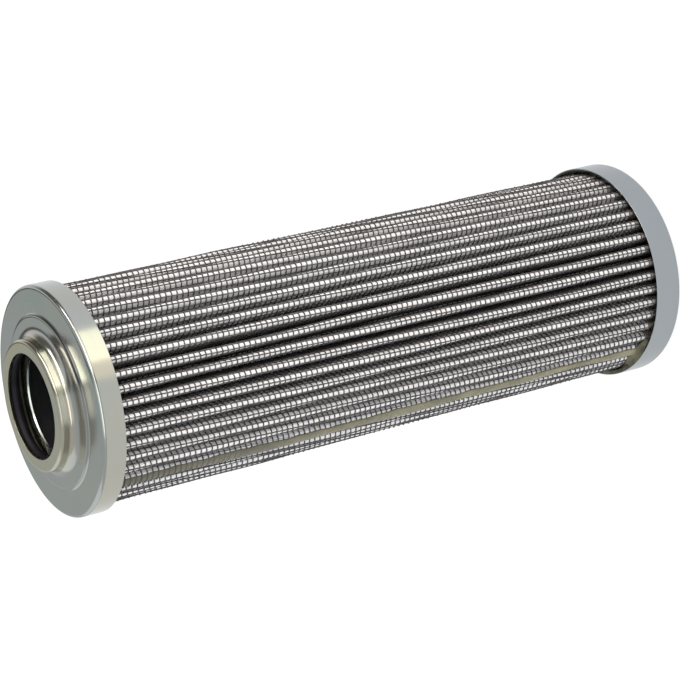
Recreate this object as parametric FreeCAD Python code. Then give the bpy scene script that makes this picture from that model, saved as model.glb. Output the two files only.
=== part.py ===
import FreeCAD, Part

import math
import os

from FreeCAD import Vector

# Replacement element of a hydraulic pressure filter, in millimetres.
# It stands on its closed end cap, +Z runs along its axis up to the sealing neck,
# and the origin is the centre of the closed cap's outer face.
# Oil flows from the outside through the pleated pack and the support core, and out of the neck.

# Pressed end caps
cap_radius = 34.0                   # outside of both skirts
cap_span = 202.8                    # closed cap's outer face to the flat face of the open cap
cap_sheet = 0.8                     # wall of the pressed steel sheet
cap_bend = 1.2                      # outside radius between face and skirt
closed_skirt_height = 9.5
open_skirt_height = 7.2

# Raised centre and sealing neck of the open cap
platform_rise = 0.7                 # platform above the cap's flat face
platform_radius = 25.2              # upper edge of the slope up to the platform
platform_slope = 1.0                # how far the slope runs outward
neck_rise = 5.0                     # lip above the platform
neck_fillet = 2.5                   # hollow corner between platform and neck
lip_bend = 1.0                      # outside radius between neck and lip
bore_radius = 15.5                  # hole in the lip that the filter housing's spigot enters

# Neck seal
o_ring_section = 3.2
o_ring_bore = 30.6                  # inside diameter of the free ring
o_ring_clearance = 0.05             # to the neck's wall and to the lip
retainer_thickness = 0.5
retainer_clearance = 1.75           # washer to the platform's edge
retainer_bond = 0.3                 # adhesive between washer and platform

# Support core, a moulded lattice tube
core_wall = 1.8
core_columns = 8                    # windows round the core
core_rows = 6                       # windows along the core
core_rib = 3.6                      # width of the ribs between neighbouring columns
core_ring = 6.0                     # height of the rings between neighbouring rows
core_end_band = 8.0                 # closed band at both ends of the core

# Pleated pack, plies from outside to inside
pleat_count = 46
pack_clearance = 1.0                # pleat tips to the skirts of the caps
crest_half_width = 1.35             # outside of the folded pack at a crest
outer_mesh_thickness = 0.45
outer_fleece_thickness = 0.15
filter_media_thickness = 0.35
inner_fleece_thickness = 0.12
inner_mesh_thickness = 0.2
core_clearance = 0.2                # between the folds' roots and the core
outer_crest_facets = 4              # flats that round a crest, on the two outermost surfaces
inner_crest_facets = 2              # the same on the hidden surfaces below them

# Long gaps between the lengthwise wires on each crest of the outer mesh
crest_wire = 0.3                    # width of each wire between two gaps
mesh_end_band = 4.0                 # ungapped mesh at each end of the pack

# Side seam, the adhesive bead that joins the two ends of the pleated web
seam_azimuth = -147.0               # degrees, measured round +Z from +X
seam_depth = 2.6                    # tip of the bead down to the plies' ends

# Potting, the adhesive that holds the pack in its caps
potting_thickness = 2.0
potting_collar = 3.6                # height of the adhesive that climbs between pack and skirt
potting_collar_clearance = 0.2      # collar to pleat tips


# Derived sizes
neck_wall_radius = o_ring_bore / 2 + o_ring_section + o_ring_clearance
core_radius = neck_wall_radius + core_wall
root_radius = core_radius + core_clearance
skirt_inner_radius = cap_radius - cap_sheet
pleat_tip_radius = skirt_inner_radius - pack_clearance
platform_top = cap_span + platform_rise
lip_top = platform_top + neck_rise
retainer_radius = platform_radius - retainer_clearance
platform_underside = platform_top - cap_sheet
retainer_top = platform_underside - retainer_bond
core_bottom = cap_sheet
core_top = retainer_top - retainer_thickness
pack_bottom = cap_sheet + potting_thickness
pack_top = cap_span - cap_sheet - potting_thickness
ply_depths = [0.0]
for ply_thickness in (
    outer_mesh_thickness,
    outer_fleece_thickness,
    filter_media_thickness,
    inner_fleece_thickness,
    inner_mesh_thickness,
):
    ply_depths.append(ply_depths[-1] + ply_thickness)
pack_thickness = ply_depths[-1]
bend_centre = pleat_tip_radius - crest_half_width


class Outline:
    """A closed outline in the RZ half plane, drawn edge by edge and turned round the axis."""

    def __init__(self, radius, height):
        """Start at a point given by its radius and height."""
        self.start = Vector(radius, 0, height)
        self.point = self.start
        self.edges = []

    def line(self, radius, height):
        """Straight edge to the given point."""
        end = Vector(radius, 0, height)
        self.edges.append(Part.LineSegment(self.point, end).toShape())
        self.point = end
        return self

    def arc(self, radius, height, centre_radius, centre_height):
        """Quarter bend from the current point to the given one, round the given centre."""
        end = Vector(radius, 0, height)
        centre = Vector(centre_radius, 0, centre_height)
        size = (end - centre).Length
        half_way = (self.point + end) * 0.5 - centre
        middle = centre + half_way.normalize() * size
        self.edges.append(Part.Arc(self.point, middle, end).toShape())
        self.point = end
        return self

    def turned(self):
        """Close the outline and turn it into a solid."""
        self.line(self.start.x, self.start.z)
        face = Part.Face(Part.Wire(self.edges))
        return face.revolve(Vector(0, 0, 0), Vector(0, 0, 1), 360)


def annulus(inner, outer, bottom, top):
    """Plain ring of rectangular section."""
    outline = Outline(inner, bottom)
    outline.line(outer, bottom).line(outer, top).line(inner, top)
    return outline.turned()


def make_closed_end_cap():
    """Drawn cup with a flat base and no hole."""
    inner_bend = cap_bend - cap_sheet
    flat_radius = cap_radius - cap_bend
    outline = Outline(0, 0)
    outline.line(flat_radius, 0)
    outline.arc(cap_radius, cap_bend, flat_radius, cap_bend)
    outline.line(cap_radius, closed_skirt_height)
    outline.line(skirt_inner_radius, closed_skirt_height)
    outline.line(skirt_inner_radius, cap_bend)
    outline.arc(skirt_inner_radius - inner_bend, cap_sheet, flat_radius, cap_bend)
    outline.line(0, cap_sheet)
    return outline.turned()


def make_open_end_cap():
    """One pressing: skirt, flat face, raised platform, drawn neck and turned-in lip."""
    inner_bend = cap_bend - cap_sheet
    flat_radius = cap_radius - cap_bend
    neck_radius = neck_wall_radius + cap_sheet
    fillet_centre = neck_radius + neck_fillet
    fillet_height = platform_top + neck_fillet
    under_fillet = neck_fillet + cap_sheet
    lip_centre = neck_radius - lip_bend
    lip_height = lip_top - lip_bend
    inner_lip_bend = lip_bend - cap_sheet
    skirt_rim = cap_span - open_skirt_height
    bend_height = cap_span - cap_bend
    outline = Outline(cap_radius, skirt_rim)
    outline.line(cap_radius, bend_height)
    outline.arc(flat_radius, cap_span, flat_radius, bend_height)
    outline.line(platform_radius + platform_slope, cap_span)
    outline.line(platform_radius, platform_top)
    outline.line(fillet_centre, platform_top)
    outline.arc(neck_radius, fillet_height, fillet_centre, fillet_height)
    outline.line(neck_radius, lip_height)
    outline.arc(lip_centre, lip_top, lip_centre, lip_height)
    outline.line(bore_radius, lip_top)
    outline.line(bore_radius, lip_top - cap_sheet)
    outline.line(lip_centre, lip_top - cap_sheet)
    outline.arc(lip_centre + inner_lip_bend, lip_height, lip_centre, lip_height)
    outline.line(neck_wall_radius, fillet_height)
    outline.arc(fillet_centre, fillet_height - under_fillet, fillet_centre, fillet_height)
    outline.line(platform_radius, platform_underside)
    outline.line(platform_radius + platform_slope, cap_span - cap_sheet)
    outline.line(flat_radius, cap_span - cap_sheet)
    outline.arc(flat_radius + inner_bend, bend_height, flat_radius, bend_height)
    outline.line(skirt_inner_radius, skirt_rim)
    return outline.turned()


def make_neck_o_ring():
    """Rubber ring that lies in the neck, close under the lip."""
    ring_radius = o_ring_section / 2
    height = lip_top - cap_sheet - o_ring_clearance - ring_radius
    centre = o_ring_bore / 2 + ring_radius
    return Part.makeTorus(centre, ring_radius, Vector(0, 0, height), Vector(0, 0, 1))


def make_o_ring_retainer():
    """Washer between the core's end and the platform, which keeps the O-ring in the neck."""
    return annulus(bore_radius, retainer_radius, core_top, retainer_top)


def make_support_core():
    """Tube with rows of windows that carries the folds' roots against the oil's pressure."""
    tube = annulus(core_radius - core_wall, core_radius, core_bottom, core_top)
    window_span = core_top - core_bottom - 2 * core_end_band + core_ring
    row_pitch = window_span / core_rows
    window_height = row_pitch - core_ring
    half_opening = math.pi / core_columns - core_rib / 2 / core_radius
    reach = (core_radius + core_wall) / math.cos(half_opening)
    windows = []
    for column in range(core_columns):
        azimuth = 2 * math.pi * column / core_columns
        for row in range(core_rows):
            bottom = core_bottom + core_end_band + row * row_pitch
            corners = [Vector(0, 0, bottom)]
            for side in (-1, 1):
                angle = azimuth + side * half_opening
                corners.append(placed(angle, reach, 0, bottom))
            wedge = Part.Face(Part.makePolygon(corners + corners[:1]))
            windows.append(wedge.extrude(Vector(0, 0, window_height)))
    return tube.cut(windows)


def placed(azimuth, outward, sideways, height=0.0):
    """Point at a distance along and across the radial line of the given azimuth."""
    x = outward * math.cos(azimuth) - sideways * math.sin(azimuth)
    y = outward * math.sin(azimuth) + sideways * math.cos(azimuth)
    return Vector(x, y, height)


def crest_azimuth(index):
    """Azimuth of a crest. Crest 0 is the side seam."""
    return math.radians(seam_azimuth) + 2 * math.pi * index / pleat_count


def crest_points(index, depth, facets):
    """Corners of one crest, as far below the pack's outer surface as depth says."""
    bend_radius = crest_half_width - depth
    azimuth = crest_azimuth(index)
    points = []
    for step in range(facets + 1):
        angle = math.pi * step / facets
        outward = bend_centre + bend_radius * math.sin(angle)
        points.append(placed(azimuth, outward, -bend_radius * math.cos(angle)))
    return points


def root_points(index, depth):
    """Flat bottom of the valley between crest index and the next, cut by the legs' lines."""
    bottom = root_radius + pack_thickness - depth
    half_leg = crest_half_width - depth
    return [
        placed(crest_azimuth(index), bottom, half_leg),
        placed(crest_azimuth(index + 1), bottom, -half_leg),
    ]


def fold_line(depth, facets):
    """Zigzag from one side of the seam round the axis to its other side."""
    half_leg = crest_half_width - depth
    seat = pleat_tip_radius - seam_depth
    points = [placed(crest_azimuth(0), seat, half_leg)]
    for index in range(pleat_count):
        if index > 0:
            points += crest_points(index, depth, facets)
        points += root_points(index, depth)
    points.append(placed(crest_azimuth(0), seat, -half_leg))
    return points


def make_ply(outer_depth, outer_facets, inner_depth, inner_facets):
    """One ply of the pack between two depths, folded as one open strip and set upright."""
    outline = fold_line(outer_depth, outer_facets)
    outline += reversed(fold_line(inner_depth, inner_facets))
    outline.append(outline[0])
    section = Part.Face(Part.makePolygon(outline))
    section.translate(Vector(0, 0, pack_bottom))
    return section.extrude(Vector(0, 0, pack_top - pack_bottom))


def make_crest_gap(index, facet):
    """Long slot through one flat of a crest, between the wires along its two edges."""
    outer = crest_points(index, 0, outer_crest_facets)
    first = outer[facet]
    second = outer[facet + 1]
    along = (second - first).normalize()
    outward = Vector(along.y, -along.x, 0)
    first = first + along * crest_wire / 2
    second = second - along * crest_wire / 2
    reach = outward * outer_mesh_thickness * 2
    corners = [first - reach, second - reach, second + reach, first + reach]
    base = Part.Face(Part.makePolygon(corners + corners[:1]))
    base.translate(Vector(0, 0, pack_bottom + mesh_end_band))
    return base.extrude(Vector(0, 0, pack_top - pack_bottom - 2 * mesh_end_band))


def make_outer_mesh():
    """Coated wire mesh round the pack, open between the lengthwise wires of every crest."""
    sheet = make_ply(ply_depths[0], outer_crest_facets, ply_depths[1], outer_crest_facets)
    top_facets = (outer_crest_facets // 2 - 1, outer_crest_facets // 2)
    gaps = [
        make_crest_gap(index, facet)
        for index in range(1, pleat_count)
        for facet in top_facets
    ]
    return sheet.cut(gaps)


def make_side_seam():
    """Adhesive bead on the two ends of the plies, rounded like the crests beside it."""
    azimuth = crest_azimuth(0)
    seat = pleat_tip_radius - seam_depth
    tip = placed(azimuth, pleat_tip_radius, 0)
    left = placed(azimuth, bend_centre, crest_half_width)
    right = placed(azimuth, bend_centre, -crest_half_width)
    edges = [
        Part.Arc(right, tip, left).toShape(),
        Part.makeLine(left, placed(azimuth, seat, crest_half_width)),
        Part.makeLine(placed(azimuth, seat, crest_half_width), placed(azimuth, seat, -crest_half_width)),
        Part.makeLine(placed(azimuth, seat, -crest_half_width), right),
    ]
    section = Part.Face(Part.Wire(edges))
    section.translate(Vector(0, 0, pack_bottom))
    return section.extrude(Vector(0, 0, pack_top - pack_bottom))


def make_closed_end_potting():
    """Adhesive disc on the closed cap with a collar that climbs between pack and skirt."""
    collar_inner = pleat_tip_radius + potting_collar_clearance
    corner = cap_radius - cap_bend
    outline = Outline(core_radius, cap_sheet)
    outline.line(corner, cap_sheet)
    outline.line(skirt_inner_radius, cap_bend)
    outline.line(skirt_inner_radius, pack_bottom + potting_collar)
    outline.line(collar_inner, pack_bottom + potting_collar)
    outline.line(collar_inner, pack_bottom)
    outline.line(core_radius, pack_bottom)
    return outline.turned()


def make_open_end_potting():
    """The same at the open cap, where it also fills the platform and bonds the washer to it."""
    collar_inner = pleat_tip_radius + potting_collar_clearance
    corner = cap_radius - cap_bend
    face = cap_span - cap_sheet
    bond_inner = neck_wall_radius + cap_sheet + neck_fillet     # where the neck's hollow corner ends
    outline = Outline(core_radius, pack_top)
    outline.line(collar_inner, pack_top)
    outline.line(collar_inner, pack_top - potting_collar)
    outline.line(skirt_inner_radius, pack_top - potting_collar)
    outline.line(skirt_inner_radius, cap_span - cap_bend)
    outline.line(corner, face)
    outline.line(platform_radius + platform_slope, face)
    outline.line(platform_radius, platform_underside)
    outline.line(bond_inner, platform_underside)
    outline.line(bond_inner, retainer_top)
    outline.line(retainer_radius, retainer_top)
    outline.line(retainer_radius, core_top)
    outline.line(core_radius, core_top)
    return outline.turned()


def main():
    parts = {
        "closed_end_cap": make_closed_end_cap(),
        "open_end_cap": make_open_end_cap(),
        "neck_o_ring": make_neck_o_ring(),
        "o_ring_retainer": make_o_ring_retainer(),
        "support_core": make_support_core(),
        "outer_mesh": make_outer_mesh(),
        "outer_fleece": make_ply(ply_depths[1], outer_crest_facets, ply_depths[2], inner_crest_facets),
        "filter_media": make_ply(ply_depths[2], inner_crest_facets, ply_depths[3], inner_crest_facets),
        "inner_fleece": make_ply(ply_depths[3], inner_crest_facets, ply_depths[4], inner_crest_facets),
        "inner_mesh": make_ply(ply_depths[4], inner_crest_facets, ply_depths[5], inner_crest_facets),
        "side_seam": make_side_seam(),
        "closed_end_potting": make_closed_end_potting(),
        "open_end_potting": make_open_end_potting(),
    }
    os.makedirs("parts", exist_ok=True)
    for name, shape in parts.items():
        shape.exportStep(f"parts/{name}.step")
        print(name, shape.ShapeType, len(shape.Solids), "valid", shape.isValid(), f"volume {shape.Volume:.1f}")


main()
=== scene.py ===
"""Looks of a hydraulic filter element around its CAD frame.

The element stands on its closed cap with +Z along its axis. Every length in this file is in
metres, and sizes that the CAD frame already holds are read from the frame's nodes.
"""

import logging
import math
from dataclasses import dataclass
from enum import Enum
from functools import reduce
from typing import Any

import bpy
import numpy as np
from mathutils import Matrix, Vector


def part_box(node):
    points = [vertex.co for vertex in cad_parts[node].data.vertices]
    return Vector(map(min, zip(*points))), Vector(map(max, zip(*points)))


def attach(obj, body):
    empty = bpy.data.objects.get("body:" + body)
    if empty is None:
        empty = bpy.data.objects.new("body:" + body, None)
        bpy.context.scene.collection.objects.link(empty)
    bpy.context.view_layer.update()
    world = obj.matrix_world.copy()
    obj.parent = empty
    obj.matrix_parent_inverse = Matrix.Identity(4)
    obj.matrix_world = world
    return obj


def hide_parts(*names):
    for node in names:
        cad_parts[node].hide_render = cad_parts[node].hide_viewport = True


MM = 0.001
QUARTER_TURN = 0.5 * math.pi
FULL_TURN = 2 * math.pi
SEAM_AZIMUTH = math.radians(-147.0)
SAME_PLACE = 1e-7  # points nearer than this are one point
ON_AXIS = 1e-9  # a radius below this lies on the axis

Span = tuple[float, float]
Place = tuple[float, float, float]
Colour = tuple[float, float, float]
Wave = tuple[float, float, float]
Numbers = float | np.ndarray
Piece = bpy.types.Object
Socket = bpy.types.NodeSocket
Value = float | tuple | Socket

log = logging.getLogger("filter_element")

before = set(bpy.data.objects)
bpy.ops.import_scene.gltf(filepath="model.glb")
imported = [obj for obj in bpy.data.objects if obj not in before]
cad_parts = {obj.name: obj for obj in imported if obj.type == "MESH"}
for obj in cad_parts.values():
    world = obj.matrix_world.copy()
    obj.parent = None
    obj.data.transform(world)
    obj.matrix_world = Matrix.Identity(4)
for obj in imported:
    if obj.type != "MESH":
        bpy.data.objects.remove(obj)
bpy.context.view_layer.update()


class Slot(Enum):
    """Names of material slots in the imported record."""

    ZINC = "zinc_plated_steel"
    RUBBER = "black_rubber"
    WIRE = "coated_wire_mesh"
    FLEECE = "white_fleece"
    GLASS_FIBRE = "glass_fibre_web"
    DRAINAGE = "drainage_mesh"
    ADHESIVE = "olive_adhesive"


def node_radius(node: str) -> float:
    """Largest radius of a round CAD node, read from its box."""
    low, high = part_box(node)
    return max(high.x, high.y, -low.x, -low.y)


# Meshes


def ring_angles(count: int) -> np.ndarray:
    """Angles of evenly spaced places round the axis."""
    return np.linspace(0, FULL_TURN, count, endpoint=False)


def polar(radius: Numbers, angle: Numbers, height: Numbers) -> np.ndarray:
    """Points from their radii, angles and heights, which may be arrays or numbers."""
    return np.stack(np.broadcast_arrays(radius * np.cos(angle), radius * np.sin(angle), height), axis=-1)


def add_piece(name: str, points: np.ndarray, faces: np.ndarray, sharp: float = 0.0) -> Piece:
    """Make a smooth-shaded object from arrays and link it to the scene.

    Args:
        name: Name of the object and its mesh.
        points: Vertices, with x, y and z in the last axis.
        faces: Vertex numbers of the quads, one row each. A triangle repeats its last number.
        sharp: Edges that turn by more degrees than this are shaded sharp, with 0 for none.

    Returns:
        The new object.
    """
    points = points.reshape(-1, 3)
    keep = np.ones(faces.shape, bool)
    keep[:, 3] = faces[:, 2] != faces[:, 3]
    loops = faces[keep]
    starts = np.concatenate(([0], np.cumsum(keep.sum(axis=1))[:-1]))
    mesh = bpy.data.meshes.new(name)
    mesh.vertices.add(len(points))
    mesh.vertices.foreach_set("co", points.astype(np.float32).ravel())
    mesh.loops.add(len(loops))
    mesh.loops.foreach_set("vertex_index", loops.astype(np.int32))
    mesh.polygons.add(len(faces))
    mesh.polygons.foreach_set("loop_start", starts.astype(np.int32))
    mesh.polygons.foreach_set("use_smooth", np.ones(len(faces), bool))
    mesh.update(calc_edges=True)
    mesh.validate()
    if sharp:
        mesh.set_sharp_from_angle(angle=math.radians(sharp))
    piece = bpy.data.objects.new(name, mesh)
    bpy.context.scene.collection.objects.link(piece)
    return piece


def grid_faces(rows: int, columns: int, wrap: bool) -> np.ndarray:
    """Quads between neighbouring rows of vertices, where each row closes on itself.

    Args:
        rows: Number of rows of vertices.
        columns: Number of vertices in each row.
        wrap: Whether the last row joins the first.

    Returns:
        One quad in each row of the array.
    """
    row, column = np.divmod(np.arange((rows if wrap else rows - 1) * columns), columns)
    next_row, next_column = (row + 1) % rows, (column + 1) % columns
    corners = ((row, column), (row, next_column), (next_row, next_column), (next_row, column))
    return np.stack([r * columns + c for r, c in corners], axis=1)


class Profile:
    """Outline of a turned piece in the half plane of radius and height."""

    def __init__(self, radius: float, height: float) -> None:
        """Start at a point."""
        self.points: list[Span] = [(radius, height)]

    def line(self, *places: Span) -> "Profile":
        """Straight edges through the given places."""
        self.points.extend(places)
        return self

    def arc(self, centre: Span, radius: float | Span, start: float, end: float, steps: int = 6) -> "Profile":
        """Round stretch about a centre.

        Args:
            centre: Radius and height of the arc's centre.
            radius: The arc's own radius, or its reach outward and upward.
            start: First angle in degrees, where 0 points outward and 90 up.
            end: Last angle in degrees.
            steps: Number of straight steps.

        Returns:
            This profile.
        """
        across, up = np.broadcast_to(radius, 2)
        for angle in np.radians(np.linspace(start, end, steps + 1)):
            self.points.append((centre[0] + across * math.cos(angle), centre[1] + up * math.sin(angle)))
        return self

    def held(self, margin: float = 0.05 * MM) -> np.ndarray:
        """The outline without doubled points, held flat along its long stretches.

        Args:
            margin: Distance of the holding points from a stretch's ends.

        Returns:
            Points of the closed outline.
        """
        kept = self.points[:1]
        for point in self.points[1:]:
            if math.dist(point, kept[-1]) > SAME_PLACE:
                kept.append(point)
        if math.dist(kept[0], kept[-1]) < SAME_PLACE:
            kept.pop()
        outline = np.array(kept)
        points = []
        for start, end in zip(outline, np.roll(outline, -1, axis=0)):
            points.append(start)
            length = math.dist(start, end)
            if length > 6 * margin:
                step = margin / length * (end - start)
                points += [start + step, end - step]
        return np.array(points)


def turn(name: str, profile: Profile, segments: int, sharp: float = 35.0) -> Piece:
    """Turn a closed profile round the Z axis.

    Args:
        name: Name of the piece.
        profile: Closed outline, counter-clockwise seen with radius to the right and height up.
        segments: Number of steps round the axis.
        sharp: Edges that turn by more degrees than this are shaded sharp.

    Returns:
        The new piece.
    """
    radius, height = profile.held().T
    points = polar(radius, ring_angles(segments)[:, None], height).reshape(-1, 3)
    faces = grid_faces(segments, len(radius), True)[:, ::-1]
    for column in np.nonzero(radius < ON_AXIS)[0]:
        faces[faces % len(radius) == column] = column
    corners = [list(dict.fromkeys(face)) for face in faces.tolist()]
    faces = np.array([(face + face[-1:])[:4] for face in corners if len(face) > 2])
    used, faces = np.unique(faces, return_inverse=True)
    return add_piece(name, points[used], faces.reshape(-1, 4), sharp)


# Shader node graphs


class Graph:
    """Adds nodes to a node tree and wires them up."""

    def __init__(self, tree: bpy.types.NodeTree) -> None:
        """Empty the tree and work on it."""
        tree.nodes.clear()
        self.tree = tree

    def add(self, kind: str, values: dict[str | int, Value] | None = None, **settings: Any) -> bpy.types.Node:
        """Add a node.

        Args:
            kind: Type name without its ShaderNode prefix.
            values: Input name to a plain value, or to the output socket that feeds it.
            settings: Properties of the node, such as operation.

        Returns:
            The new node.
        """
        node = self.tree.nodes.new("ShaderNode" + kind)
        for key, value in settings.items():
            setattr(node, key, value)
        for key, value in (values or {}).items():
            self.feed(node.inputs[key], value)
        return node

    def feed(self, socket: Socket, value: Value) -> None:
        """Link an output to a socket, or set the socket's own value.

        Args:
            socket: The input.
            value: An output, a plain value, or a colour without alpha.
        """
        if isinstance(value, Socket):
            self.tree.links.new(value, socket)
        else:
            socket.default_value = (*value, 1.0) if socket.type == "RGBA" else value

    def math(self, operation: str, *values: Value) -> Socket:
        """Output of a Math node."""
        return self.add("Math", dict(enumerate(values)), operation=operation).outputs[0]

    def plus(self, first: Value, second: Value) -> Socket:
        """Sum of two values."""
        return self.math("ADD", first, second)

    def times(self, *factors: Value) -> Socket:
        """Product of two values or more."""
        return reduce(lambda product, factor: self.math("MULTIPLY", product, factor), factors)

    def apart(self, first: Value, second: Value) -> Socket:
        """Distance between two values."""
        return self.math("ABSOLUTE", self.math("SUBTRACT", first, second))

    def ramp(
        self, value: Value, low: float, high: float, to_low: float = 0.0, to_high: float = 1.0
    ) -> Socket:
        """Value mapped from one range to another with its ends held."""
        return self.add("MapRange", {0: value, 1: low, 2: high, 3: to_low, 4: to_high}).outputs[0]

    def mix(self, share: Value, first: Value, second: Value) -> Socket:
        """Colour between two colours or colour outputs."""
        return self.add("Mix", data_type="RGBA", values={0: share, 6: first, 7: second}).outputs[2]

    def mask(self, group: bpy.types.NodeTree, **values: float) -> Socket:
        """Mask of an effect group with the given inputs."""
        return self.add("Group", values, node_tree=group).outputs["Mask"]

    def noise(self, place: Value, scale: Value, detail: float, **seed: Value) -> Socket:
        """Noise value at a place, in four dimensions when W is given."""
        values = {"Vector": place, "Scale": scale, "Detail": detail} | seed
        return self.add("TexNoise", values, noise_dimensions="4D" if seed else "3D").outputs[0]

    def bump(self, height: Value, distance: float, strength: float) -> Socket:
        """Normal raised by a height."""
        return self.add("Bump", {"Height": height, "Distance": distance, "Strength": strength}).outputs[0]


class Effects:
    """Shader node groups for the finishes, each made once."""

    def __init__(self) -> None:
        """Build every group."""
        self.round_place = self._round_place()
        self.blotches = self._blotches()
        self.drawn_streaks = self._drawn_streaks()
        self.fibres = self._fibres()

    def _new(self, name: str, inputs: dict[str, float], *outputs: str) -> tuple[Graph, Any, Any]:
        """Make an empty group.

        Args:
            name: Name of the group.
            inputs: Input name to its default number.
            outputs: Names of the number outputs.

        Returns:
            The group's graph, the sockets that bring its inputs and those that take its outputs.
        """
        tree = bpy.data.node_groups.new(name, "ShaderNodeTree")
        for label, default in inputs.items():
            socket = tree.interface.new_socket(label, in_out="INPUT", socket_type="NodeSocketFloat")
            socket.default_value = default
        for label in outputs:
            tree.interface.new_socket(label, in_out="OUTPUT", socket_type="NodeSocketFloat")
        graph = Graph(tree)
        given = tree.nodes.new("NodeGroupInput").outputs
        return graph, given, tree.nodes.new("NodeGroupOutput").inputs

    def _round_place(self) -> bpy.types.NodeTree:
        """Radius, angle and height about the element's axis.

        Returns:
            The node group.
        """
        graph, _, result = self._new("round_place", {}, "Radius", "Angle", "Height")
        x, y, z = graph.add("SeparateXYZ", {0: graph.add("TexCoord").outputs["Object"]}).outputs
        graph.feed(result["Radius"], graph.math("SQRT", graph.plus(graph.times(x, x), graph.times(y, y))))
        graph.feed(result["Angle"], graph.math("ARCTAN2", y, x))
        graph.feed(result["Height"], z)
        return graph.tree

    def _blotches(self) -> bpy.types.NodeTree:
        """Soft large patches, for uneven plating, adhesive or cloth.

        Returns:
            The node group.
        """
        graph, given, result = self._new("soft_blotches", {"Scale": 40.0, "Seed": 0.0}, "Mask")
        place = graph.add("TexCoord").outputs["Object"]
        noise = graph.noise(place, given["Scale"], 3.0, W=given["Seed"])
        graph.feed(result["Mask"], graph.ramp(noise, 0.35, 0.65))
        return graph.tree

    def _drawn_streaks(self) -> bpy.types.NodeTree:
        """Fine lines round the axis, left by drawing and turning.

        Returns:
            The node group.
        """
        graph, given, result = self._new("drawn_streaks", {"Fineness": 3000.0, "Seed": 0.0}, "Mask")
        radius, angle, height = self.find_place(graph)
        fineness = given["Fineness"]
        across = graph.add("CombineXYZ", {
            0: graph.times(radius, fineness),
            1: graph.times(height, fineness),
            2: graph.times(angle, 3.0),
        })
        graph.feed(result["Mask"], graph.noise(across.outputs[0], 1.0, 2.0, W=given["Seed"]))
        return graph.tree

    def _fibres(self) -> bpy.types.NodeTree:
        """Tangle of short fibres, for fleece and glass-fibre web.

        Returns:
            The node group.
        """
        graph, given, result = self._new("fibre_tangle", {"Scale": 900.0}, "Mask")
        place = graph.add("TexCoord").outputs["Object"]
        total = 0.0
        for lie in (0.4, 1.7, 2.8):
            turned = graph.add("Mapping", {
                "Vector": place,
                "Rotation": (lie, lie * 0.7, lie * 1.3),
                "Scale": (1.0, 1.0, 0.12),
            })
            total = graph.plus(total, graph.noise(turned.outputs[0], given["Scale"], 2.0))
        graph.feed(result["Mask"], graph.math("DIVIDE", total, 3.0))
        return graph.tree

    def find_place(self, graph: Graph) -> tuple[Socket, Socket, Socket]:
        """Radius, angle and height outputs in the given graph."""
        return tuple(graph.add("Group", node_tree=self.round_place).outputs)


@dataclass(frozen=True)
class Finish:
    """Material with one Principled shader."""

    name: str

    def paint(self, graph: Graph, effects: Effects) -> dict[str, Value]:
        """Inputs of the shader, which each finish gives."""
        raise NotImplementedError

    def build(self, effects: Effects) -> bpy.types.Material:
        """The finish as a material.

        Args:
            effects: Shared effect groups.

        Returns:
            The new material.
        """
        material = bpy.data.materials.new(self.name)
        material.use_nodes = True
        graph = Graph(material.node_tree)
        shader = graph.add("BsdfPrincipled", self.paint(graph, effects))
        graph.add("OutputMaterial", {"Surface": shader.outputs[0]})
        return material


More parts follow.
